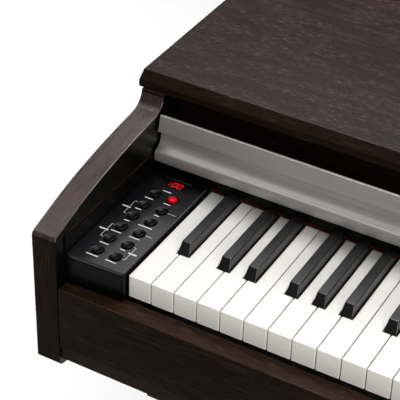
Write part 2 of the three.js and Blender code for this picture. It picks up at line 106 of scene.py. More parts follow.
# ------------------------------------------------------------------ node helpers
class Tree:
    def __init__(self, name):
        self.mat = bpy.data.materials.new(name)
        self.mat.use_nodes = True
        self.nt = self.mat.node_tree
        self.bsdf = next(n for n in self.nt.nodes if n.type == "BSDF_PRINCIPLED")
        self.tc = self.nt.nodes.new("ShaderNodeTexCoord")
        self.x = -200

    def node(self, kind, **kw):
        n = self.nt.nodes.new(kind)
        self.x -= 40
        n.location = (self.x, 0)
        for k, v in kw.items():
            setattr(n, k, v)
        return n

    def link(self, a, b):
        self.nt.links.new(a, b)

    def set(self, **kw):
        for k, v in kw.items():
            key = {
                "color": "Base Color", "rough": "Roughness", "metal": "Metallic", "spec": "Specular IOR Level",
                "coat": "Coat Weight", "coat_rough": "Coat Roughness", "sheen": "Sheen Weight", "ior": "IOR",
                "sheen_rough": "Sheen Roughness", "emit": "Emission Color", "emit_strength": "Emission Strength",
                "aniso": "Anisotropic", "sss": "Subsurface Weight", "trans": "Transmission Weight",
            }[k]
            if key in ("Base Color", "Emission Color") and len(v) == 3:
                v = (*v, 1.0)
            self.bsdf.inputs[key].default_value = v

    def scaled(self, scale, loc=(0, 0, 0), rot=(0, 0, 0)):
        m = self.node("ShaderNodeMapping")
        m.inputs["Scale"].default_value = scale
        m.inputs["Location"].default_value = loc
        m.inputs["Rotation"].default_value = rot
        self.link(self.tc.outputs["Object"], m.inputs["Vector"])
        return m.outputs["Vector"]

    def noise(self, vec, scale=1.0, detail=3.0, rough=0.55, distortion=0.0):
        n = self.node("ShaderNodeTexNoise")
        n.inputs["Scale"].default_value = scale
        n.inputs["Detail"].default_value = detail
        n.inputs["Roughness"].default_value = rough
        n.inputs["Distortion"].default_value = distortion
        self.link(vec, n.inputs["Vector"])
        return n.outputs["Fac"]

    def ramp(self, fac, stops):
        r = self.node("ShaderNodeValToRGB")
        e = r.color_ramp.elements
        while len(e) > 1:
            e.remove(e[-1])
        e[0].position, e[0].color = stops[0][0], (*stops[0][1], 1.0)
        for pos, col in stops[1:]:
            k = e.new(pos)
            k.color = (*col, 1.0)
        self.link(fac, r.inputs["Fac"])
        return r.outputs["Color"]

    def span(self, fac, a, b, lo, hi, clamp=True):
        m = self.node("ShaderNodeMapRange")
        m.clamp = clamp
        m.inputs["From Min"].default_value = a
        m.inputs["From Max"].default_value = b
        m.inputs["To Min"].default_value = lo
        m.inputs["To Max"].default_value = hi
        self.link(fac, m.inputs["Value"])
        return m.outputs["Result"]

    def math(self, op, a, b=None, c=None):
        m = self.node("ShaderNodeMath", operation=op)
        for i, v in enumerate((a, b, c)):
            if v is None:
                continue
            if isinstance(v, (int, float)):
                m.inputs[i].default_value = v
            else:
                self.link(v, m.inputs[i])
        return m.outputs["Value"]

    def mix(self, fac, a, b, blend="MIX"):
        m = self.node("ShaderNodeMix", data_type="RGBA", blend_type=blend)
        for i, v in ((0, fac), (6, a), (7, b)):
            if isinstance(v, (int, float)):
                m.inputs[i].default_value = v
            elif isinstance(v, tuple):
                m.inputs[i].default_value = (*v, 1.0)
            else:
                self.link(v, m.inputs[i])
        return m.outputs[2]

    def vmix(self, fac, a, b):
        m = self.node("ShaderNodeMix", data_type="VECTOR")
        self.link(fac, m.inputs[0])
        self.link(a, m.inputs[4])
        self.link(b, m.inputs[5])
        return m.outputs[1]

    def bump(self, height, strength, distance, chain=None):
        b = self.node("ShaderNodeBump")
        b.inputs["Strength"].default_value = strength
        b.inputs["Distance"].default_value = distance
        self.link(height, b.inputs["Height"])
        if chain is not None:
            self.link(chain, b.inputs["Normal"])
        return b.outputs["Normal"]

    def color(self, out):
        self.link(out, self.bsdf.inputs["Base Color"])

    def rough(self, out):
        self.link(out, self.bsdf.inputs["Roughness"])

    def normal(self, out):
        self.link(out, self.bsdf.inputs["Normal"])


WOOD_DARK = (0.010, 0.0052, 0.0040)
WOOD_MID = (0.036, 0.0255, 0.0225)
# pale fleck colour: partly the veneer's own grain, partly painted glints
WOOD_FLECK_GLINT = (0.135, 0.085, 0.078)


def wood(name, along="X", panel=False, strength=1.0, tone=1.0, spec=0.26, fleck=(760.0, 100.0), tint=(1.0, 1.0, 1.0)):
    """Dark stained open-pored veneer. along is the grain direction; panel=True turns the grain on faces square to X."""
    t = Tree(name)

    def coords(fine, coarse):
        def scale(axis):
            return tuple(coarse if a == axis else fine for a in "XYZ")
        if not panel:
            return t.scaled(scale(along))
        # band faces: fine across X only; side faces: grain upright
        band = t.scaled((fine, coarse, coarse))
        side = t.scaled((coarse, fine, coarse))
        sep = t.node("ShaderNodeSeparateXYZ")
        t.link(t.tc.outputs["Normal"], sep.inputs[0])
        mask = t.math("GREATER_THAN", t.math("ABSOLUTE", sep.outputs["X"]), 0.7)
        return t.vmix(mask, band, side)

    broad = t.noise(coords(26.0, 3.0), detail=3, rough=0.55)
    streak = t.noise(coords(*fleck), detail=3, rough=0.6)
    pores = t.noise(coords(1500.0, 95.0), detail=2, rough=0.5)
    patch = t.noise(coords(110.0, 22.0), detail=2, rough=0.5)
    base = t.ramp(broad, [(0.28, tuple(c * tone * k for c, k in zip((0.0150, 0.0080, 0.0062), tint))), (0.72, tuple(c * tone * k for c, k in zip((0.0290, 0.0160, 0.0128), tint)))])
    # pale flecks: partly the veneer's own grain, partly painted glints standing in for highlights on the pores
    fleck_glint = t.span(streak, 0.50, 0.64, 0.0, 1.0 * strength)
    fleck_glint = t.math("MULTIPLY", fleck_glint, t.span(patch, 0.40, 0.60, 0.15, 1.0))
    col = t.mix(fleck_glint, base, tuple(c * tone * k for c, k in zip(WOOD_FLECK_GLINT, tint)))
    dark = t.span(pores, 0.30, 0.42, 0.85, 0.0)
    col = t.mix(dark, col, tuple(c * tone for c in WOOD_DARK))
    t.color(col)
    t.rough(t.span(streak, 0.38, 0.64, 0.44, 0.19))
    h = t.math("ADD", t.math("MULTIPLY", streak, 0.7), t.math("MULTIPLY", pores, 0.6))
    t.normal(t.bump(h, 0.7 * strength, 0.00022))
    t.set(spec=spec)
    return t.mat


def aluminium(name):
    t = Tree(name)
    v = t.scaled((9.0, 2600.0, 2600.0))
    n = t.noise(v, detail=2, rough=0.5)
    w = t.noise(t.scaled((2.0, 420.0, 420.0)), detail=2, rough=0.5)
    t.color(t.ramp(n, [(0.3, (0.40, 0.392, 0.375)), (0.7, (0.48, 0.470, 0.450))]))
    t.rough(t.span(w, 0.3, 0.7, 0.40, 0.48))
    t.normal(t.bump(n, 0.10, 0.00004))
    t.set(metal=0.55, spec=0.4)
    return t.mat


def plastic(name, color, rough, grain=0.0, grain_scale=2600.0, spec=0.5, vary=0.12, coat=0.0, dist=0.00004):
    """Moulded plastic: slight tone and gloss variation, with a fine grain in the surface."""
    t = Tree(name)
    soft = t.noise(t.scaled((38.0, 38.0, 38.0)), detail=3, rough=0.5)
    t.color(t.ramp(soft, [(0.3, tuple(c * (1 - vary) for c in color)), (0.7, tuple(min(1.0, c * (1 + vary)) for c in color))]))
    t.rough(t.span(soft, 0.25, 0.75, rough * 0.92, rough * 1.08))
    fine = t.noise(t.scaled((grain_scale,) * 3), detail=2, rough=0.5)
    if grain:
        t.normal(t.bump(fine, grain, dist))
    t.set(spec=spec, coat=coat)
    return t.mat


def ivory(name):
    t = Tree(name)
    soft = t.noise(t.scaled((22.0, 9.0, 22.0)), detail=3, rough=0.5)
    t.color(t.ramp(soft, [(0.3, (0.80, 0.785, 0.745)), (0.7, (0.83, 0.815, 0.775))]))
    t.rough(t.span(soft, 0.3, 0.7, 0.24, 0.30))
    fine = t.noise(t.scaled((900.0, 300.0, 900.0)), detail=2, rough=0.5)
    t.normal(t.bump(fine, 0.05, 0.00004))
    t.set(spec=0.5)
    return t.mat


def ebony(name):
    """Matt black key plastic with a fine lengthwise grain."""
    t = Tree(name)
    soft = t.noise(t.scaled((60.0, 16.0, 60.0)), detail=3, rough=0.5)
    fine = t.noise(t.scaled((2200.0, 500.0, 2200.0)), detail=2, rough=0.6)
    base = t.ramp(soft, [(0.3, (0.0056, 0.0056, 0.0068)), (0.7, (0.0092, 0.0092, 0.0110))])
    t.color(t.mix(t.span(fine, 0.45, 0.7, 0.0, 0.35), base, (0.022, 0.021, 0.019)))
    t.rough(t.span(soft, 0.3, 0.7, 0.27, 0.34))
    t.normal(t.bump(fine, 0.25, 0.00006))
    t.set(spec=0.66)
    return t.mat


def felt(name):
    t = Tree(name)
    f = t.noise(t.scaled((900.0, 900.0, 900.0)), detail=4, rough=0.7)
    t.color(t.ramp(f, [(0.3, (0.032, 0.0012, 0.0016)), (0.7, (0.068, 0.0026, 0.0034))]))
    t.rough(t.span(f, 0.3, 0.7, 0.85, 0.98))
    t.normal(t.bump(f, 0.8, 0.0004))
    t.set(spec=0.1, sheen=0.12, sheen_rough=0.5)
    return t.mat


def metal(name, color, rough, scale=(60.0, 1400.0, 1400.0), bump=0.1):
    t = Tree(name)
    n = t.noise(t.scaled(scale), detail=2, rough=0.5)
    t.color(t.ramp(n, [(0.3, tuple(c * 0.9 for c in color)), (0.7, color)]))
    t.rough(t.span(n, 0.3, 0.7, rough * 0.85, rough * 1.15))
    t.normal(t.bump(n, bump, 0.00005))
    t.set(metal=1.0)
    return t.mat


def lit_cap(name, cx, cy):
    """Translucent red cap: the lamp below is brightest in the middle of the cap."""
    t = Tree(name)
    x, y, _ = P(cx, cy, 0)
    flat = t.node("ShaderNodeVectorMath")
    flat.operation = "MULTIPLY"
    flat.inputs[1].default_value = (1.0, 1.0, 0.0)
    shift = t.scaled((1.0, 1.0, 1.0), loc=(-x, -y, 0))
    t.link(shift, flat.inputs[0])
    ln = t.node("ShaderNodeVectorMath")
    ln.operation = "LENGTH"
    t.link(flat.outputs[0], ln.inputs[0])
    d = t.math("MULTIPLY", ln.outputs["Value"], 200.0)
    ramp = t.ramp(d, [(0.0, (1.0, 0.050, 0.062)), (0.35, (0.82, 0.008, 0.020)), (0.72, (0.42, 0.001, 0.009)), (0.96, (0.10, 0.0, 0.002))])
    t.link(ramp, t.bsdf.inputs["Emission Color"])
    t.color(t.ramp(t.noise(t.scaled((300.0, 300.0, 300.0))), [(0.3, (0.07, 0.001, 0.004)), (0.7, (0.13, 0.0015, 0.005))]))
    t.rough(t.span(t.noise(t.scaled((90.0, 90.0, 90.0))), 0.3, 0.7, 0.40, 0.48))
    t.set(emit_strength=0.8, spec=0.08)
    return t.mat


def glow(name, color, emit, strength, rough=0.3, spec=0.5):
    t = Tree(name)
    n = t.noise(t.scaled((300.0, 300.0, 300.0)), detail=2, rough=0.5)
    t.color(t.ramp(n, [(0.3, tuple(c * 0.85 for c in color)), (0.7, color)]))
    t.rough(t.span(n, 0.3, 0.7, rough * 0.9, rough * 1.1))
    t.set(emit=emit, emit_strength=strength, spec=spec)
    return t.mat


def chipboard(name):
    t = Tree(name)
    v = t.node("ShaderNodeTexVoronoi")
    v.inputs["Scale"].default_value = 420.0
    t.link(t.tc.outputs["Object"], v.inputs["Vector"])
    n = t.noise(t.scaled((130.0, 130.0, 130.0)), detail=4, rough=0.7)
    c = t.ramp(n, [(0.3, (0.016, 0.0105, 0.0075)), (0.7, (0.030, 0.021, 0.0155))])
    t.color(t.mix(t.span(v.outputs["Distance"], 0.0, 0.7, 0.25, 0.0), c, (0.010, 0.007, 0.005)))
    t.rough(t.span(n, 0.3, 0.7, 0.7, 0.9))
    t.normal(t.bump(v.outputs["Distance"], 0.3, 0.0002))
    t.set(spec=0.25)
    return t.mat


M_LID = wood("veneer_lengthwise", "X", tone=0.86, spec=0.32, fleck=(1000.0, 110.0))
M_SIDE = wood("veneer_side_panel", panel=True, strength=0.55, tone=1.7, spec=0.85, fleck=(1100.0, 60.0))
# lighter copy of the front veneer: painted light on the top of the key slip
M_SLIP_TOP_LIT = wood("veneer_slip_top_painted_light", "X", strength=0.3, tone=1.5, spec=0.12, fleck=(1100.0, 60.0), tint=(1.1, 1.1, 0.85))
# darker, duller copy of the side panel veneer: painted shade on the faces that do not face up
M_SIDE_SHADED = wood("veneer_side_faces_painted_shade", panel=True, strength=0.3, tone=0.62, spec=0.06, fleck=(1100.0, 60.0), tint=(1.1, 1.08, 0.75))
M_SIDE_IN = plastic("side_panel_inner_lacquer", (0.0042, 0.0046, 0.0032), 0.30, grain=0.05, spec=0.35)
# darker, duller copy of the veneer: painted shade on front faces; also the plain tone of the slip, back board and pedal
# beam
M_VENEER_SHADED = wood("veneer_fronts_painted_shade", "X", strength=0.3, tone=0.62, spec=0.06, fleck=(1100.0, 60.0), tint=(1.1, 1.08, 0.75))
M_EDGE = wood("veneer_plain", "X", strength=0.5, tone=0.8)
# darker copy of the veneer: painted shade on the fascia under the lid
M_FASCIA_SHADED = wood("veneer_fascia_painted_shade", "X", strength=0.3, tone=0.34, spec=0.05, tint=(1.05, 1.05, 0.85))
M_STANDY = wood("veneer_feet", "Y", strength=0.8)
M_CORE = chipboard("board_core")
M_ALU = aluminium("brushed_aluminium")
M_WHITE = ivory("white_key_plastic")
M_BLACK = ebony("black_key_plastic")
M_PANEL = plastic("panel_plastic", (0.0034, 0.0036, 0.0060), 0.24, grain=0.12, spec=0.8)
M_GLOSS = plastic("black_gloss", (0.0026, 0.0032, 0.0024), 0.30, grain=0.03, spec=0.16)
M_SATIN = plastic("black_satin", (0.008, 0.008, 0.008), 0.42, grain=0.2)
M_CAP = plastic("button_plastic", (0.0028, 0.0029, 0.0034), 0.34, grain=0.2, spec=0.24)
M_WELL = plastic("well_plastic", (0.003, 0.003, 0.0032), 0.5, grain=0.1, spec=0.3)
M_FELT = felt("red_felt")
M_REDCORE = glow("lit_button_core", (0.6, 0.01, 0.02), (1.0, 0.012, 0.03), 2.2)
M_DIGIT = glow("display_digit", (0.5, 0.0, 0.005), (1.0, 0.012, 0.03), 0.9)
M_DIGIT_DIM = glow("display_digit_dim", (0.3, 0.0, 0.005), (1.0, 0.002, 0.01), 0.55)
M_PRINT = plastic("print_white", (0.62, 0.62, 0.62), 0.5, grain=0.1)
M_STEEL = metal("zinc_steel", (0.56, 0.55, 0.53), 0.38)
M_BRASS = metal("pedal_brass", (0.80, 0.62, 0.30), 0.24, scale=(900.0, 60.0, 900.0))
M_BOARD = plastic("circuit_board", (0.02, 0.09, 0.035), 0.45, grain=0.1)
M_CONE = plastic("speaker_cone", (0.018, 0.018, 0.019), 0.75, grain=0.6, grain_scale=1400.0, dist=0.0002)
M_RUBBER = plastic("rubber", (0.012, 0.012, 0.012), 0.8, grain=0.4, spec=0.3)
M_GLASS = plastic("display_window", (0.0035, 0.0022, 0.0024), 0.08, grain=0.0, spec=0.5, coat=0.4)
M_HARD = plastic("hardboard_dark", (0.022, 0.016, 0.013), 0.6, grain=0.5, grain_scale=700.0, spec=0.3, dist=0.0002)


# ------------------------------------------------------------------ mesh helpers (local millimetres in, metres out)
def finish_mesh(name, verts, faces, mat, body, slot, replaces=(), angle=35.0, weighted=True, mats=None, face_mats=None, local=True):
    me = bpy.data.meshes.new(name)
    me.from_pydata([P(*v) if local else Vector(v) for v in verts], [], faces)
    bm = bmesh.new()
    bm.from_mesh(me)
    bmesh.ops.recalc_face_normals(bm, faces=bm.faces)
    bm.to_mesh(me)
    bm.free()
    me.update()
    for m in (mats or [mat]):
        me.materials.append(m)
    if face_mats:
        me.polygons.foreach_set("material_index", face_mats)
    return wrap(name, me, body, replaces, angle, weighted)


def wrap(name, me, body, replaces=(), angle=35.0, weighted=True):
    me.polygons.foreach_set("use_smooth", [True] * len(me.polygons))
    me.set_sharp_from_angle(angle=math.radians(angle))
    me.update()
    ob = bpy.data.objects.new(name, me)
    SCN.collection.objects.link(ob)
    if weighted:
        w = ob.modifiers.new("normals", "WEIGHTED_NORMAL")
        w.keep_sharp = True
        w.weight = 60
    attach(ob, body)
    if replaces:
        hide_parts(*replaces)
    return ob


def area2(poly):
    return sum(a[0] * b[1] - b[0] * a[1] for a, b in zip(poly, poly[1:] + poly[:1]))


def ccw(poly):
    return poly if area2(poly) > 0 else poly[::-1]


def clean(poly, eps=1e-4):
    out = []
    for p in poly:
        if not out or math.dist(out[-1], p) > eps:
            out.append(tuple(p))
    if math.dist(out[0], out[-1]) <= eps:
        out.pop()
    return out


def inset(poly, d):
    """Moves a counter-clockwise outline inwards by d."""
    if abs(d) < 1e-9:
        return [tuple(p) for p in poly]
    n, out = len(poly), []
    for i in range(n):
        a, b, c = Vector(poly[i - 1]), Vector(poly[i]), Vector(poly[(i + 1) % n])
        e0, e1 = (b - a).normalized(), (c - b).normalized()
        n0, n1 = Vector((-e0.y, e0.x)), Vector((-e1.y, e1.x))
        k = n0 + n1
        den = 1.0 + n0.dot(n1)
        out.append(tuple(b + k * (d / max(den, 0.25))))
    return out


def fillet(poly, radius, seg=4, only=None, min_turn=12.0):
    """Rounds the corners of a closed outline. radius is one number or one per corner."""
    n, out = len(poly), []
    for i in range(n):
        r = radius[i] if isinstance(radius, (list, tuple)) else radius
        a, b, c = Vector(poly[i - 1]), Vector(poly[i]), Vector(poly[(i + 1) % n])
        u, v = a - b, c - b
        lu, lv = u.length, v.length
        u.normalize(), v.normalize()
        turn = math.pi - u.angle(v)
        if r <= 0 or turn < math.radians(min_turn) or (only is not None and i not in only):
            out.append(tuple(b))
            continue
        t = min(r * math.tan(turn / 2), 0.48 * lu, 0.48 * lv)
        rr = t / math.tan(turn / 2)
        p0, p1 = b + u * t, b + v * t
        bis = (u + v).normalized()
        centre = b + bis * (rr / math.cos(turn / 2))
        a0 = math.atan2((p0 - centre).y, (p0 - centre).x)
        a1 = math.atan2((p1 - centre).y, (p1 - centre).x)
        da = (a1 - a0 + math.pi) % (2 * math.pi) - math.pi
        for k in range(seg + 1):
            an = a0 + da * k / seg
            out.append((centre.x + rr * math.cos(an), centre.y + rr * math.sin(an)))
    return clean(out)


def smooth_curve(pts, steps=5):
    """Catmull-Rom through open points."""
    out = []
    p = [Vector(q) for q in pts]
    p = [p[0] * 2 - p[1]] + p + [p[-1] * 2 - p[-2]]
    for i in range(1, len(p) - 2):
        for k in range(steps):
            t = k / steps
            a, b, c, d = p[i - 1], p[i], p[i + 1], p[i + 2]
            out.append(tuple(0.5 * ((2 * b) + (c - a) * t + (2 * a - 5 * b + 4 * c - d) * t * t + (3 * b - a - 3 * c + d) * t ** 3)))
    out.append(tuple(p[-2]))
    return out


def loft(loops):
    """loops: equal-length closed loops of 3-D points -> verts, faces with both ends capped."""
    n = len(loops[0])
    verts = [v for lp in loops for v in lp]
    faces = []
    for k in range(len(loops) - 1):
        for i in range(n):
            j = (i + 1) % n
            faces.append((k * n + i, k * n + j, (k + 1) * n + j, (k + 1) * n + i))
    faces.append(tuple(range(n))[::-1])
    faces.append(tuple((len(loops) - 1) * n + i for i in range(n)))
    return verts, faces


def board_geo(profile, axis, a0, a1, r=1.0, steps=3, r1=None):
    """A closed outline drawn out along an axis with rounded end edges."""
    prof = ccw(clean(profile))
    r1 = r if r1 is None else r1
    spots = []
    for k in range(steps + 1):
        th = math.pi / 2 * k / steps
        spots.append((a0 + r * (1 - math.cos(th)), r * (1 - math.sin(th))))
    for k in range(steps, -1, -1):
        th = math.pi / 2 * k / steps
        spots.append((a1 - r1 * (1 - math.cos(th)), r1 * (1 - math.sin(th))))
    loops = []
    for a, d in spots:
        q = inset(prof, d)
        if axis == "x":
            loops.append([(a, y, z) for y, z in q])
        elif axis == "y":
            loops.append([(x, a, z) for x, z in q])
        else:
            loops.append([(x, y, a) for x, y in q])
    return loft(loops)


def board(name, profile, axis, a0, a1, mat, body, slot, replaces=(), r=1.0, steps=3, angle=40.0, r1=None):
    v, f = board_geo(profile, axis, a0, a1, r, steps, r1)
    return finish_mesh(name, v, f, mat, body, slot, replaces, angle)


def rect(a0, a1, b0, b1, r=1.0, seg=3):
    return fillet([(a0, b0), (a1, b0), (a1, b1), (a0, b1)], r, seg)


def block(name, x0, x1, y0, y1, z0, z1, mat, body, slot, replaces=(), r=1.0, axis="z", steps=3, seg=3):
    if axis == "z":
        return board(name, rect(x0, x1, y0, y1, r, seg), "z", z0, z1, mat, body, slot, replaces, r, steps)
    if axis == "x":
        return board(name, rect(y0, y1, z0, z1, r, seg), "x", x0, x1, mat, body, slot, replaces, r, steps)
    return board(name, rect(x0, x1, z0, z1, r, seg), "y", y0, y1, mat, body, slot, replaces, r, steps)


def lathe_geo(profile, cx, cy, seg=48, start=None):
    """profile: (r, z) from the axis at the bottom to the axis at the top; closed solid."""
    verts, faces, rows = [], [], []
    for r, z in profile:
        if r < 1e-6:
            rows.append([len(verts)])
            verts.append((cx, cy, z))
        else:
            rows.append(list(range(len(verts), len(verts) + seg)))
            for i in range(seg):
                a = 2 * math.pi * i / seg
                verts.append((cx + r * math.cos(a), cy + r * math.sin(a), z))
    for a, b in zip(rows, rows[1:]):
        for i in range(seg):
            j = (i + 1) % seg
            if len(a) == 1:
                faces.append((a[0], b[i], b[j]))
            elif len(b) == 1:
                faces.append((a[i], a[j], b[0]))
            else:
                faces.append((a[i], a[j], b[j], b[i]))
    return verts, faces


def lathe(name, profile, cx, cy, mat, body, slot, replaces=(), seg=48, angle=40.0):
    v, f = lathe_geo(profile, cx, cy, seg)
    return finish_mesh(name, v, f, mat, body, slot, replaces, angle, weighted=False)


def merge(parts):
    verts, faces = [], []
    for v, f in parts:
        n = len(verts)
        verts += v
        faces += [tuple(i + n for i in q) for q in f]
    return verts, faces


def flat_plate(name, outer, holes, z0, z1, mat, body, replaces=(), bevel=0.6, res=3, angle=40.0):
    """A flat plate from a plan outline with holes, all its edges rounded."""
    cu = bpy.data.curves.new(name + "_c", "CURVE")
    cu.dimensions = "2D"
    cu.fill_mode = "BOTH"
    cu.resolution_u = 1
    cu.extrude = (z1 - z0) / 2000.0 - bevel / 1000.0
    cu.bevel_depth = bevel / 1000.0
    cu.bevel_resolution = res
    cu.offset = -bevel / 1000.0
    for loop in [ccw(outer)] + [ccw(h)[::-1] for h in holes]:
        sp = cu.splines.new("POLY")
        sp.points.add(len(loop) - 1)
        for p, (x, y) in zip(sp.points, loop):
            q = P(x, y, 0)
            p.co = (q.x, q.y, 0, 1)
        sp.use_cyclic_u = True
    tmp = bpy.data.objects.new(name + "_t", cu)
    SCN.collection.objects.link(tmp)
    dg = bpy.context.evaluated_depsgraph_get()
    me = bpy.data.meshes.new_from_object(tmp.evaluated_get(dg))
    bpy.data.objects.remove(tmp)
    bm = bmesh.new()
    bm.from_mesh(me)
    bmesh.ops.remove_doubles(bm, verts=bm.verts, dist=2e-6)
    bmesh.ops.translate(bm, verts=bm.verts, vec=(0, 0, P(0, 0, (z0 + z1) / 2).z))
    bmesh.ops.recalc_face_normals(bm, faces=bm.faces)
    bm.to_mesh(me)
    bm.free()
    me.name = name
    me.materials.clear()
    me.materials.append(mat)
    return wrap(name, me, body, replaces, angle)


def circle(cx, cy, r, n=40):
    return [(cx + r * math.cos(2 * math.pi * i / n), cy + r * math.sin(2 * math.pi * i / n)) for i in range(n)]


def cut_by(ob, tools):
    """Subtracts closed helper objects from ob and keeps the result as ob's mesh."""
    for tool in tools:
        m = ob.modifiers.new("cut", "BOOLEAN")
        m.operation, m.solver, m.object = "DIFFERENCE", "EXACT", tool
        m.material_mode = "INDEX"
        ob.modifiers.move(len(ob.modifiers) - 1, 0)
    keep = [m for m in ob.modifiers if m.type == "WEIGHTED_NORMAL"]
    for m in keep:
        m.show_viewport = False
    dg = bpy.context.evaluated_depsgraph_get()
    dg.update()
    me = bpy.data.meshes.new_from_object(ob.evaluated_get(dg))
    for m in keep:
        m.show_viewport = True
    old = ob.data
    for m in [m for m in ob.modifiers if m.type == "BOOLEAN"]:
        ob.modifiers.remove(m)
    ob.data = me
    me.name = old.name
    me.polygons.foreach_set("use_smooth", [True] * len(me.polygons))
    me.set_sharp_from_angle(angle=math.radians(38))
    for tool in tools:
        bpy.data.objects.remove(tool)
    return ob


def helper(v, f):
    me = bpy.data.meshes.new("helper")
    me.from_pydata([P(*q) for q in v], [], f)
    bm = bmesh.new()
    bm.from_mesh(me)
    bmesh.ops.recalc_face_normals(bm, faces=bm.faces)
    bm.to_mesh(me)
    bm.free()
    ob = bpy.data.objects.new("helper", me)
    SCN.collection.objects.link(ob)
    return ob


def refine(node, mat, width=0.8, segments=3, angle=25.0, name=None, body=None):
    """A new piece from a CAD solid, with its edges rounded."""
    src = NODES[node]
    bm = bmesh.new()
    bm.from_mesh(src.data)
    bmesh.ops.remove_doubles(bm, verts=bm.verts, dist=1e-5)
    bmesh.ops.dissolve_limit(bm, angle_limit=math.radians(0.8), use_dissolve_boundaries=False, verts=bm.verts, edges=bm.edges)
    edges = [e for e in bm.edges if e.is_manifold and abs(e.calc_face_angle(0)) > math.radians(angle)]
    bmesh.ops.bevel(bm, geom=edges, offset=width / 1000.0, offset_type="OFFSET", segments=segments, profile=0.5, affect="EDGES", clamp_overlap=True)
    bmesh.ops.recalc_face_normals(bm, faces=bm.faces)
    me = bpy.data.meshes.new(name or node + "_skin")
    bm.to_mesh(me)
    bm.free()
    me.materials.clear()
    me.materials.append(mat)
    return wrap(name or node + "_skin", me, body or src["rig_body"], (node,), 38.0)


# ------------------------------------------------------------------ side panels
CHEEK_TOP = [
    (-24, 23.5), (-23.8, 26.2), (-23.1, 28.3), (-21.8, 29.9), (-19.8, 31.0), (-16.5, 32.1), (-9, 34.4), (-3.8, 36.0), (10.6, 40.5),
    (25.2, 44.8), (40.7, 48.7), (58, 52.1), (75.9, 55.3), (93.4, 58.2), (113.8, 60.7), (134.9, 62.9), (148, 64.6),
    (154.6, 66.5), (159.2, 69.8), (162.2, 74.2), (163.4, 77.4), (164.1, 80.05)]
KNEE = [(224, FLOOR_Z + 60.3), (224, -330), (221, -270), (212, -222), (196, -186), (172, -160), (140, -143), (100, -133), (50, -127), (-14, -123)]


def side_outline():
    top = smooth_curve(CHEEK_TOP, 3)
    knee = smooth_curve(KNEE[1:], 3)
    return top + [(164.2, 84.0), (440, 84.0), (440, FLOOR_Z + 60.3), (224, FLOOR_Z + 60.3)] + knee + [(-20, -121.5), (-24, -117)]


def split_faces(ob, mat, test):
    """Give the polygons whose normal passes the test a second material; the veneer calls below use it to lay darker
    copies on faces turned from the light (painted shade) and a lighter copy on the slip top (painted light).
    """
    ob.data.materials.append(mat)
    last = len(ob.data.materials) - 1
    for poly in ob.data.polygons:
        if test(poly.normal):
            poly.material_index = last


def side_panel(name, node, mirror):
    x0, x1 = CHEEK_L - 25.5, CHEEK_L
    if mirror:
        x0, x1 = CHEEK_R, CHEEK_R + 25.5
    ob = board(name, side_outline(), "x", x0, x1, M_SIDE, "cabinet", "wood_veneer", (node,), r=1.1, steps=3)
    if mirror:
        t = board_geo(rect(-6, 352, 24.5, 27.8, 0.4, 2), "x", x0 - 5, x0 + 6, 0.2, 1)
    else:
        t = board_geo(rect(-6, 352, 24.5, 27.8, 0.4, 2), "x", x1 - 6, x1 + 5, 0.2, 1)
    flat = board_geo(rect(100, 460, 80.2, 92, 0.4, 2), "x", x0 - 5, x1 + 5, 0.2, 1)
    ob = cut_by(ob, [helper(*t), helper(*flat)])
    # faces that do not face up get the darker copy as painted shade; the top band keeps the lighter, glossier copy
    split_faces(ob, M_SIDE_SHADED, lambda n: n.z < 0.25)
    split_faces(ob, M_SIDE_IN, lambda n: (-n.x if mirror else n.x) > 0.9)
    return ob


side_panel("side_panel_left_skin", "side_panel_left", False)
side_panel("side_panel_right_skin", "side_panel_right", True)

FOOT = [(-6, 0), (-6, 26), (2, 38), (40, 50), (110, 60), (440, 60), (440, 0)]
foot_prof = fillet([(y, z + FLOOR_Z) for y, z in FOOT], [1.5, 10, 10, 30, 30, 1.5, 1.5], 5, min_turn=5)
board("foot_left_skin", foot_prof, "x", CHEEK_L - 28.5, CHEEK_L, M_STANDY, "cabinet", "wood_veneer", ("foot_left",), r=1.2)
board("foot_right_skin", foot_prof, "x", CHEEK_R, CHEEK_R + 28.5, M_STANDY, "cabinet", "wood_veneer", ("foot_right",), r=1.2)

# ------------------------------------------------------------------ lid and cabinet boards
lid_prof = fillet([(167.5, 80.3), (167.5, 87.2), (177.0, 95), (446, 95), (446, 80.3)], [0.6, 2.6, 2.6, 1.5, 1.0], 5, min_turn=5)
lid_ob = board("lid_skin", lid_prof, "x", XM - 703.8, XM + 703.8, M_LID, "cabinet", "wood_veneer", ("lid",), r=1.4, steps=4)
# faces of the lid that do not face up, its front and nose, get the darker copy as painted shade
split_faces(lid_ob, M_VENEER_SHADED, lambda n: n.z < 0.93)
slip_prof = fillet([(-24, -95), (-24, -26), (-2.6, -26), (-2.6, -95)], [0.6, 2.0, 0.8, 0.6], 4)
slip_ob = board("key_slip_skin", slip_prof, "x", XM - 671.9, XM + 671.9, M_VENEER_SHADED, "cabinet", "wood_veneer", ("key_slip",), r=0.6)
# the slip's top takes the lighter copy as painted light; its front keeps the darker copy as painted shade
split_faces(slip_ob, M_SLIP_TOP_LIT, lambda n: n.z > 0.25)
# fascia drawn in the darker copy: painted shade under the lid overhang
board("fascia_board_skin", rect(177, 189, 66, 80.0, 0.5, 2), "x", XM - 672.5, XM + 672.5, M_FASCIA_SHADED, "cabinet", "wood_core", ("fascia_board",), r=0.5)
zb0, zb1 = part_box("stand_back_board")
board("stand_back_board_skin", rect(392, 408, FLOOR_Z + 240, FLOOR_Z + 590, 0.8, 3), "x", XM - 672.5, XM + 672.5, M_VENEER_SHADED, "cabinet", "wood_veneer", ("stand_back_board",), r=0.6)
refine("rear_panel", M_HARD, 0.6)
refine("key_bed", M_CORE, 0.6)
refine("pedal_beam", M_VENEER_SHADED, 1.0)

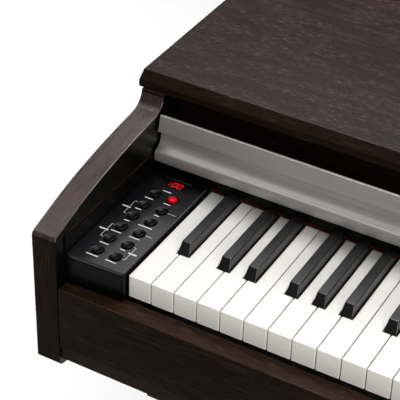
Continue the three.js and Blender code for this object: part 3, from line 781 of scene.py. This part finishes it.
rest_prof = fillet([(244, 96.2), (244, 109.2), (264, 109.2), (264, 104.2), (430, 104.2), (430, 96.2)], [1.0, 3.2, 2.0, 1.2, 3.0, 1.0], 4)
board("music_rest_skin", rest_prof, "x", XM - 250, XM + 250, M_LID, "music_rest", "wood_veneer", ("music_rest",), r=2.4, steps=4)

# ------------------------------------------------------------------ keys
LETTERS = "abcdefg"
AFTER = {"a": 3.3, "c": -1.8, "d": 1.8, "f": -3.3, "g": 0.0}
whites = []
blacks = []
for i in range(WHITES):
    letter = LETTERS[i % 7]
    whites.append((i, letter, (i + 5) // 7, i * PITCH, i * PITCH + PITCH - GAP))
    if letter in AFTER and i < WHITES - 1:
        blacks.append((i, letter, (i + 5) // 7, (i + 1) * PITCH - GAP / 2 + AFTER[letter]))
B_WIDE, B_TOP, B_HIGH = 11.9, 8.1, 10.3
NOTCH, NOTCH_Y = B_WIDE / 2 + 1.0, 50.4


def white_geo(key):
    i, letter, octave, x0, x1 = key
    left = next((b for b in blacks if b[0] == i - 1), None)
    right = next((b for b in blacks if b[0] == i), None)
    xl = max(x0, left[3] + NOTCH) if left else x0
    xr = min(x1, right[3] - NOTCH) if right else x1
    plan = [(x0, 0.0), (x1, 0.0), (x1, 14.0)]
    rad = [0.9, 0.9, 0]
    if xr < x1:
        plan += [(x1, NOTCH_Y), (xr, NOTCH_Y)]
        rad += [0.95, 0.4]
    plan += [(xr, 236.0), (xl, 236.0)]
    rad += [0, 0]
    if xl > x0:
        plan += [(xl, NOTCH_Y), (x0, NOTCH_Y)]
        rad += [0.4, 0.95]
    plan += [(x0, 14.0)]
    rad += [0]
    outline = fillet(plan, rad, 3)
    n = len(outline)
    r, steps = 0.75, 4
    levels = [(-14.0, 0.0), (-r, 0.0)]
    for k in range(1, steps + 1):
        th = math.pi / 2 * k / steps
        levels.append((-r + r * math.sin(th), r * (1 - math.cos(th))))
    loops = [[(x, y, z) for x, y in inset(outline, d)] for z, d in levels]
    verts = [v for lp in loops for v in lp]
    faces = []
    for k in range(len(loops) - 1):
        for a in range(n):
            b = (a + 1) % n
            faces.append((k * n + a, k * n + b, (k + 1) * n + b, (k + 1) * n + a))
    faces.append(tuple((len(loops) - 1) * n + a for a in range(n)))
    ir = next(a for a, p in enumerate(outline) if math.dist(p, (x1, 14.0)) < 1e-6)
    il = next(a for a, p in enumerate(outline) if math.dist(p, (x0, 14.0)) < 1e-6)
    front = [(il + k) % n for k in range((ir - il) % n + 1)]       # from the left mark round the front to the right mark
    rear = [(ir + k) % n for k in range((il - ir) % n + 1)]
    base = len(verts)
    verts += [(outline[a][0], outline[a][1], -23.4) for a in front]
    m = len(front)
    for k in range(m - 1):
        faces.append((base + k, base + k + 1, front[k + 1], front[k]))
    faces.append((base + m - 1, base, front[0], front[-1]))
    faces.append(tuple(base + k for k in range(m))[::-1])
    faces.append(tuple(rear)[::-1])
    return verts, faces


def ring(x, w, yf, yr, z, rc, seg=5):
    """A plan rectangle with rounded front corners, as a loop of 3-D points."""
    pts = [(x - w, yr, z)]
    for k in range(seg + 1):
        a = math.pi + math.pi / 2 * k / seg
        pts.append((x - w + rc + rc * math.cos(a), yf + rc + rc * math.sin(a), z))
    for k in range(seg + 1):
        a = 1.5 * math.pi + math.pi / 2 * k / seg
        pts.append((x + w - rc + rc * math.cos(a), yf + rc + rc * math.sin(a), z))
    pts.append((x + w, yr, z))
    return pts


def black_cap_geo(x):
    """The cap: steep sides, sloping front, flat top with softly rounded edges."""
    r, rf = 1.15, 1.9
    loops = [ring(x, 5.85, 51.55, 146.5, -1.0, 0.5), ring(x, 5.85, 51.55, 146.5, -0.2, 0.5)]
    z1 = B_HIGH - r
    w1, yf1 = B_TOP / 2 + r * 0.72, 57.0
    for k in range(1, 5):
        s = k / 4
        # the foot of the front flares a little
        yf = 51.55 + (yf1 - 51.55) * (s ** 0.85)
        loops.append(ring(x, 5.85 + (w1 - 5.85) * s, yf, 146.5, -0.2 + (z1 + 0.2) * s, 0.5 + 0.9 * s))
    for k in range(1, 6):
        th = math.pi / 2 * k / 5
        loops.append(ring(x, w1 - r * 0.85 * (1 - math.cos(th)), yf1 + rf * (1 - math.cos(th)), 146.5 - 0.5 * (1 - math.cos(th)), z1 + r * math.sin(th), 1.4 + 0.8 * (1 - math.cos(th))))
    return loft(loops)


def black_stick_geo(x):
    return board_geo(rect(x - 5.3, x + 5.3, 52.2, 222, 0.4, 2), "z", -14, -1.05, 0.3, 1)


def note(letter, octave, sharp=False):
    return f"{letter}_sharp{octave}" if sharp else f"{letter}{octave}"


for key in whites[:7]:
    v, f = white_geo(key)
    nm = note(key[1], key[2])
    finish_mesh(f"white_{nm}_body", v, f, M_WHITE, f"white_{nm}", "white_key", (f"white_key_{nm}",), 40)
for b in blacks:
    if b[0] >= 7:
        continue
    nm = note(b[1], b[2], True)
    finish_mesh(f"black_{nm}_cap", *black_cap_geo(b[3]), M_BLACK, f"black_{nm}", "black_key", (f"black_key_{nm}",), 50)
    finish_mesh(f"black_{nm}_stick", *black_stick_geo(b[3]), M_SATIN, f"black_{nm}", "black_key")
v, f = merge([white_geo(k) for k in whites[7:]])
finish_mesh("white_set_bodies", v, f, M_WHITE, "white_set", "white_key", ("white_key_set",), 40)
v, f = merge([black_cap_geo(b[3]) for b in blacks if b[0] >= 7])
finish_mesh("black_set_caps", v, f, M_BLACK, "black_set", "black_key", ("black_key_set",), 50)
v, f = merge([black_stick_geo(b[3]) for b in blacks if b[0] >= 7])
finish_mesh("black_set_sticks", v, f, M_SATIN, "black_set", "black_key")

refine("keyboard_chassis", M_STEEL, 0.5, 2)
board("name_rail_skin", rect(152.6, 163, 8.6, 14.2, 0.6, 2), "x", XM - 670.6, XM + 670.6, M_GLOSS, "cabinet", "black_gloss", ("name_rail",), r=0.4)
board("name_rail_front", rect(148.9, 162.9, 4.6, 14.1, 0.8, 3), "x", -0.6, XR + 0.6, M_GLOSS, "cabinet", "black_gloss", ("name_rail",), r=0.4)
board("felt_strip_skin", rect(148.6, 152.2, 0.9, 4.3, 0.9, 4), "x", -0.6, XR + 0.6, M_FELT, "cabinet", "felt", ("red_felt_strip",), r=0.8)

# ------------------------------------------------------------------ control block
BX1 = -1.5
BX0 = BX1 - 59.0
TOP = 7.6
block_plan = fillet([(BX0, -10.9), (BX1, -8.7), (BX1, 150), (BX0, 150)], [1.6, 1.6, 0.8, 0.8], 5)
rows = (-38.4, -19.0)
spots = [(f"button_{side}_{k + 1}", rows[s], 8.4 + 20.1 * k) for s, side in enumerate(("left", "right")) for k in range(6)]
DX, DY = -29.3, 131.5
holes = [circle(x, y, 6.1, 44) for _, x, y in spots] + [rect(DX - 14.5, DX + 14.5, DY - 8, DY + 8, 1.2, 3)]
flat_plate("control_block_top", block_plan, holes, 4.15, TOP, M_PANEL, "cabinet", ("control_block",), bevel=0.65, res=3)
wall_in = [(BX0 + 2.5, -7.8), (BX1 - 2.5, -5.7), (BX1 - 2.5, 147.5), (BX0 + 2.5, 147.5)]
flat_plate("control_block_wall", block_plan, [wall_in], -25.7, 3.85, M_GLOSS, "cabinet", (), bevel=0.4, res=2)
block("display_window_skin", DX - 14.2, DX + 14.2, DY - 7.7, DY + 7.7, 4.8, 7.3, M_GLASS, "cabinet", "display_glass", ("display_window",), r=0.4)


def button(name, x, y, lit):
    top = TOP + 1.3
    cap = [(0, 1.0), (4.6, 1.0), (4.8, 1.2), (4.8, top - 0.75), (4.72, top - 0.4), (4.5, top - 0.14), (4.2, top - 0.02), (3.95, top), (3.7, top - 0.05),
           (3.3, top - 0.25), (2.6, top - 0.5), (1.6, top - 0.68), (0.8, top - 0.74), (0, top - 0.76)]
    lathe(name + "_cap", cap, x, y, lit_cap("lit_button_plastic", x, y) if lit else M_CAP, name, "lit_button" if lit else "button_plastic", (name,), 40)
    collar = [(6.0, 4.3), (6.0, 6.6), (5.9, 6.9), (5.6, 7.0), (5.3, 6.9), (5.2, 6.6), (5.2, 4.3)]
    n = 40
    verts, faces = [], []
    for r, z in collar:
        for i in range(n):
            a = 2 * math.pi * i / n
            verts.append((x + r * math.cos(a), y + r * math.sin(a), z))
    m = len(collar)
    for k in range(m):
        for i in range(n):
            j = (i + 1) % n
            faces.append((k * n + i, k * n + j, ((k + 1) % m) * n + j, ((k + 1) % m) * n + i))
    finish_mesh(name + "_collar", verts, faces, M_WELL, "cabinet", "button_plastic", (), 40, weighted=False)


for nm, x, y in spots:
    button(nm, x, y, nm == "button_right_6")

# seven-segment digits on the display
def segments(cx, cy, w, h, on, slant=0.12):
    t, g = 0.85, 0.22
    hw, hh = w / 2, h / 2

    def bar(x0, y0, x1, y1):
        horizontal = abs(x1 - x0) > abs(y1 - y0)
        k = t / 2
        if horizontal:
            pts = [(x0 + g, y0), (x0 + g + k, y0 + k), (x1 - g - k, y0 + k), (x1 - g, y0), (x1 - g - k, y0 - k), (x0 + g + k, y0 - k)]
        else:
            pts = [(x0, y0 + g), (x0 + k, y0 + g + k), (x0 + k, y1 - g - k), (x0, y1 - g), (x0 - k, y1 - g - k), (x0 - k, y0 + g + k)]
        return [(cx + px + slant * py, cy + py) for px, py in pts]
    all7 = {
        "a": bar(-hw, hh, hw, hh), "b": bar(hw, 0, hw, hh), "c": bar(hw, -hh, hw, 0), "d": bar(-hw, -hh, hw, -hh),
        "e": bar(-hw, -hh, -hw, 0), "f": bar(-hw, 0, -hw, hh), "g": bar(-hw, 0, hw, 0)}
    return [all7[k] for k in on]


def thin(polys, z0, z1):
    parts = []
    for poly in polys:
        q = ccw(poly)
        parts.append(loft([[(x, y, z0) for x, y in q], [(x, y, z1) for x, y in q]]))
    return merge(parts)


# a plain number, 100, such as a tempo
finish_mesh("display_digits", *thin(segments(-30.2, 132.0, 3.5, 7.0, "abcdef") + segments(-24.6, 132.0, 3.5, 7.0, "abcdef"), 7.31, 7.37), M_DIGIT, "cabinet", "lit_button", (), 30, weighted=False)
finish_mesh("display_digit_first", *thin(segments(-37.0, 132.0, 3.5, 7.0, "bc"), 7.31, 7.37), M_DIGIT_DIM, "cabinet", "lit_button", (), 30, weighted=False)

# printed marks: plain dashes and brackets
def strip(a, b, w):
    a, b = Vector(a), Vector(b)
    d = (b - a).normalized()
    n = Vector((-d.y, d.x)) * w / 2
    return [tuple(a + n), tuple(a - n), tuple(b - n), tuple(b + n)]


marks = []
for x0, x1, y in ((-45.6, -32.6, 0.2), (-43.8, -34.2, 20.2), (-44.4, -33.4, 40.5), (-42.6, -36.6, 60.2), (-43.6, -36.7, 80.9), (-44.6, -35.6, 100.5),
                  (-25.2, -13.7, 0.6), (-21.9, -16.5, 20.6), (-24.9, -14.0, 40.8), (-27.3, -12.5, 60.3), (-22.6, -17.0, 80.7), (-24.3, -16.7, 101.0), (-35.3, -26.3, 118.4)):
    marks.append(strip((x0, y), (x1, y), 1.25))
for x0, x1, y in ((-12.4, -5.6, 49.0), (-12.7, -4.0, 89.1)):
    marks.append(strip((x0, y), (x1, y), 0.55))
for pts in ([(-45.7, 28.4), (-48.3, 28.4), (-48.3, 48.9), (-45.8, 48.9)], [(-46.4, 69.2), (-48.8, 69.2), (-48.8, 90.1), (-46.4, 90.1)],
            [(-12.4, 9.1), (-9.9, 9.1), (-9.9, 17.6)], [(-9.9, 21.6), (-9.9, 28.9), (-12.8, 28.9)]):
    for a, b in zip(pts, pts[1:]):
        marks.append(strip(a, b, 0.5))
for x0, x1, y in ((-55.9, -46.4, 38.6), (-56.1, -47.2, 78.7), (-12.4, -3.6, 19.4)):
    marks.append(strip((x0, y), (x1, y), 1.9))
finish_mesh("panel_marks", *thin(marks, 7.605, 7.65), M_PRINT, "cabinet", "panel_plastic", (), 30, weighted=False)

# ------------------------------------------------------------------ end block at the treble end
EX0 = XR + 1.5
EX1 = EX0 + 59.0
end_plan = fillet([(EX0, -8.7), (EX1, -10.9), (EX1, 150), (EX0, 150)], [1.6, 1.6, 0.8, 0.8], 5)
VX, VY, WX, WY = EX0 + 19, 62, EX0 + 40, 100
flat_plate("end_block_top", end_plan, [rect(VX - 1.6, VX + 1.6, VY - 19, VY + 19, 1.2, 4), circle(WX, WY, 6.6, 44)], 4.15, TOP, M_PANEL, "cabinet", ("end_block",), bevel=0.65, res=3)
flat_plate("end_block_wall", end_plan, [[(EX0 + 2.5, -5.7), (EX1 - 2.5, -7.8), (EX1 - 2.5, 147.5), (EX0 + 2.5, 147.5)]], -25.7, 3.85, M_GLOSS, "cabinet", (), bevel=0.4, res=2)
knob_prof = fillet([(VY - 3.5, TOP + 0.4), (VY - 2.9, TOP + 7), (VY + 2.9, TOP + 7), (VY + 3.5, TOP + 0.4)], [0.4, 1.0, 1.0, 0.4], 4)
board("volume_knob_skin", knob_prof, "x", VX - 4.5, VX + 4.5, M_SATIN, "volume_knob", "button_plastic", ("volume_knob",), r=0.8)
lathe("power_button_cap", [(0, 1.0), (5.9, 1.0), (6.1, 1.2), (6.1, TOP + 1.5), (5.9, TOP + 2.0), (5.4, TOP + 2.2), (4.6, TOP + 2.1), (2.6, TOP + 1.7), (0, TOP + 1.55)], WX, WY, M_CAP, "power_button", "button_plastic", ("power_button",))
finish_mesh("end_marks", *thin([strip((VX - 8, VY - 25), (VX + 8, VY - 25), 1.25), strip((WX - 5, WY - 10), (WX + 5, WY - 10), 1.25)], 7.605, 7.65), M_PRINT, "cabinet", "panel_plastic", (), 30, weighted=False)

# ------------------------------------------------------------------ liners and sliding key cover
for side, name in ((-1, "left"), (1, "right")):
    a, b = XM + side * 671.3, XM + side * 672.5
    block(f"track_liner_{name}_skin", min(a, b), max(a, b), -9.5, 352, -25.7, 24.3, M_GLOSS, "cabinet", "black_gloss", (f"track_liner_{name}",), r=0.3, axis="x", steps=2, seg=2)

cove = smooth_curve([(151.0, 32.7), (153.6, 35.4), (155.0, 39.2), (155.6, 43.9), (155.4, 46.3)], 5)
rail_prof = ([(149.2, 16.9), (147.2, 16.3)] + smooth_curve([(147.2, 16.3), (145.0, 17.6), (143.9, 20.3), (143.5, 24.2), (143.9, 28.0)], 4)[1:]
             + smooth_curve([(143.9, 28.0), (144.6, 29.3), (146.0, 30.3), (147.6, 30.9)], 3)[1:] + cove
             + [(150.1, 48.2), (149.6, 49.0), (149.7, 50.6), (150.6, 53.5), (153.3, 63.9), (153.9, 64.7), (154.8, 64.9), (156.2, 64.8), (157.2, 64.3), (157.5, 63.4),
                (158.6, 46), (158.2, 34), (153.4, 27), (152.0, 20.0), (151.2, 17.4)])
board("cover_rail_skin", clean(rail_prof), "x", XM - 670.9, XM + 670.9, M_ALU, "key_cover", "satin_aluminium", ("cover_rail",), r=0.35, steps=2, angle=30)
board("cover_board_skin", rect(158.9, 346, 47.4, 53.4, 0.8, 3), "x", XM - 669.9, XM + 669.9, M_EDGE, "key_cover", "wood_veneer", ("cover_board",), r=0.6)
refine("cover_runner_left", M_SATIN, 0.3, 2)
refine("cover_runner_right", M_SATIN, 0.3, 2)

# ------------------------------------------------------------------ pedals
def pedal(name, cx):
    half = [(5, 244), (6.5, 170), (8, 130), (11.5, 98), (12.5, 78), (11, 64), (7, 55.5), (0, 52)]
    right = smooth_curve([(x, y) for x, y in half], 5)
    pts = right + [(-x, y) for x, y in right[::-1][1:]]
    outline = ccw(clean([(cx + x, y) for x, y in pts]))
    z0, z1 = FLOOR_Z + 62, FLOOR_Z + 68.5
    levels = []
    for k in range(5):
        th = math.pi / 2 * k / 4
        levels.append((z0 + 2.0 * (1 - math.cos(th)), 2.0 * (1 - math.sin(th))))
    for k in range(5, -1, -1):
        th = math.pi / 2 * k / 5
        levels.append((z1 - 2.6 * (1 - math.cos(th)), 2.6 * (1 - math.sin(th))))
    loops = [[(x, y, z) for x, y in inset(outline, d)] for z, d in levels]
    v, f = loft(loops)
    finish_mesh(name + "_plate", v, f, M_BRASS, name, "pedal_metal", (name,), 50)


for nm, cx in (("pedal_soft", -70), ("pedal_sostenuto", 0), ("pedal_damper", 70)):
    pedal(nm, XM + cx)

# ------------------------------------------------------------------ inside the case and the back
for nm in ("speaker_left", "speaker_right"):
    refine(nm, M_CONE, 0.6, 2)
refine("main_board", M_BOARD, 0.3, 2)
refine("power_inlet", M_SATIN, 0.5, 2)
refine("headphone_box", M_SATIN, 0.8, 3)

# ------------------------------------------------------------------ stage and light
def stage_floor():
    me = bpy.data.meshes.new("floor")
    s = 9.0
    me.from_pydata([(-s, -s, -0.0005), (s, -s, -0.0005), (s, s, -0.0005), (-s, s, -0.0005)], [], [(0, 1, 2, 3)])
    t = Tree("floor_pale")
    n = t.noise(t.scaled((3.0, 3.0, 3.0)), detail=2)
    t.color(t.ramp(n, [(0.3, (0.82, 0.82, 0.82)), (0.7, (0.84, 0.84, 0.84))]))
    t.set(rough=0.9, spec=0.1)
    me.materials.append(t.mat)
    ob = bpy.data.objects.new("floor", me)
    SCN.collection.objects.link(ob)


def area(name, loc, target, sx, sy, power, color=(1, 1, 1)):
    li = bpy.data.lights.new(name, "AREA")
    li.shape, li.size, li.size_y = "RECTANGLE", sx, sy
    li.energy, li.color = power, color
    ob = bpy.data.objects.new(name, li)
    SCN.collection.objects.link(ob)
    ob.location = loc
    ob.rotation_mode = "QUATERNION"
    ob.rotation_quaternion = (Vector(target) - Vector(loc)).to_track_quat("-Z", "Y")
    ob.visible_camera = False
    return ob


LIGHTS = [
    ("softbox_low", (-0.65, 1.38, 2.23), (-0.52, -0.05, 0.80), 2.1, 0.70, 6.4, (1, 1, 1)),
    ("softbox_high", (-0.35, 0.72, 2.68), (-0.5, -0.1, 0.75), 1.8, 0.7, 26.0, (1, 1, 1)),
    ("overhead", (-1.25, -0.4, 2.95), (-0.5, -0.1, 0.75), 1.4, 1.0, 9.0, (1, 1, 1)),
    ("fill_right", (2.0, -2.6, 1.9), (-0.3, 0.0, 0.75), 1.8, 1.2, 60.0, (1.0, 0.98, 0.94)),
    ("fill_front", (1.2, -3.2, 3.2), (-0.3, 0.0, 0.75), 1.8, 1.2, 14.0, (1.0, 0.985, 0.96)),
    ("rim_right", (0.89, 1.67, 1.93), (-0.6, -0.1, 0.78), 0.9, 0.5, 8.0, (1, 1, 1)),
    ("floor_light", (-3.1, 1.2, 1.7), (-1.4, 0.8, 0.0), 1.0, 1.0, 40.0, (1, 1, 1)),
]
WORLD_FRONT, WORLD_BACK = 0.15, 0.08


def world():
    w = bpy.data.worlds.new("studio")
    SCN.world = w
    w.use_nodes = True
    nt = w.node_tree
    bg = nt.nodes["Background"]
    tc = nt.nodes.new("ShaderNodeTexCoord")
    sep = nt.nodes.new("ShaderNodeSeparateXYZ")
    nt.links.new(tc.outputs["Generated"], sep.inputs[0])
    ramp = nt.nodes.new("ShaderNodeValToRGB")
    mr = nt.nodes.new("ShaderNodeMapRange")
    mr.inputs["From Min"].default_value = -1.0
    mr.inputs["From Max"].default_value = 1.0
    nt.links.new(sep.outputs["Y"], mr.inputs["Value"])
    nt.links.new(mr.outputs["Result"], ramp.inputs["Fac"])
    e = ramp.color_ramp.elements
    e[0].position, e[0].color = 0.36, (WORLD_FRONT, WORLD_FRONT, WORLD_FRONT * 1.01, 1)
    e[1].position, e[1].color = 0.64, (WORLD_BACK, WORLD_BACK, WORLD_BACK * 1.02, 1)
    nt.links.new(ramp.outputs["Color"], bg.inputs["Color"])
    bg.inputs["Strength"].default_value = 1.0


stage_floor()
world()
for row in LIGHTS:
    area(*row)
SCN.view_settings.view_transform = "Standard"
SCN.view_settings.look = "Medium High Contrast"
